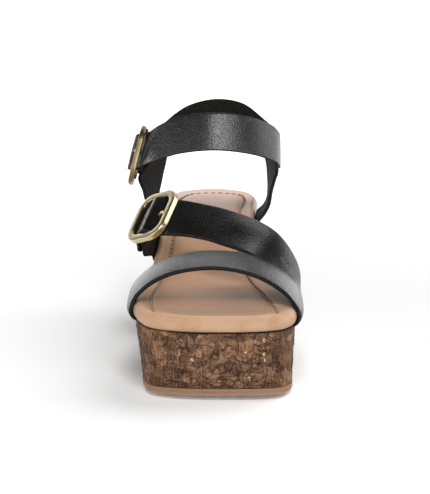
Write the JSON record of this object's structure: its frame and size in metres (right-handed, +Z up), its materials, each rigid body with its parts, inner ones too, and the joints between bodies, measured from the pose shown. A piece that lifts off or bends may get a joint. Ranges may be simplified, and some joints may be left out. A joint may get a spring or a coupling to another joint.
{
  "type": "wedge sandal",
  "caption": "Open-toed wedge sandal for a right foot: padded footbed on a cork-wrapped wedge, toe band, slanting instep strap and ankle strap, both fastened with centre-bar buckles.",
  "frame": {"origin": "on the floor, at the middle of the bounding box of the whole shoe", "axes": "+Y along the shoe towards the heel, +X towards the inner side of the foot, +Z up; the toe points along -Y"},
  "size_m": [0.1066, 0.254, 0.1386],
  "materials": {
    "outsole_rubber": "tan moulded rubber, matt",
    "cork": "brown cork veneer with dark crevices and a few gold flecks",
    "footbed_leather": "smooth tan leather over foam, stitched near the edge",
    "strap_leather": "smooth black leather with a fine grain and painted edges",
    "antique_brass": "antiqued brass, polished on its high edges"
  },
  "bodies": {
    "root": {"outsole": "outsole_rubber", "cork_wedge": "cork", "footbed": "footbed_leather", "vamp_straps": "strap_leather", "instep_buckle_tab": "strap_leather", "ankle_straps": "strap_leather", "instep_buckle": "antique_brass", "instep_prong": "antique_brass", "ankle_buckle": "antique_brass", "ankle_prong": "antique_brass"}
  },
  "joints": []
}
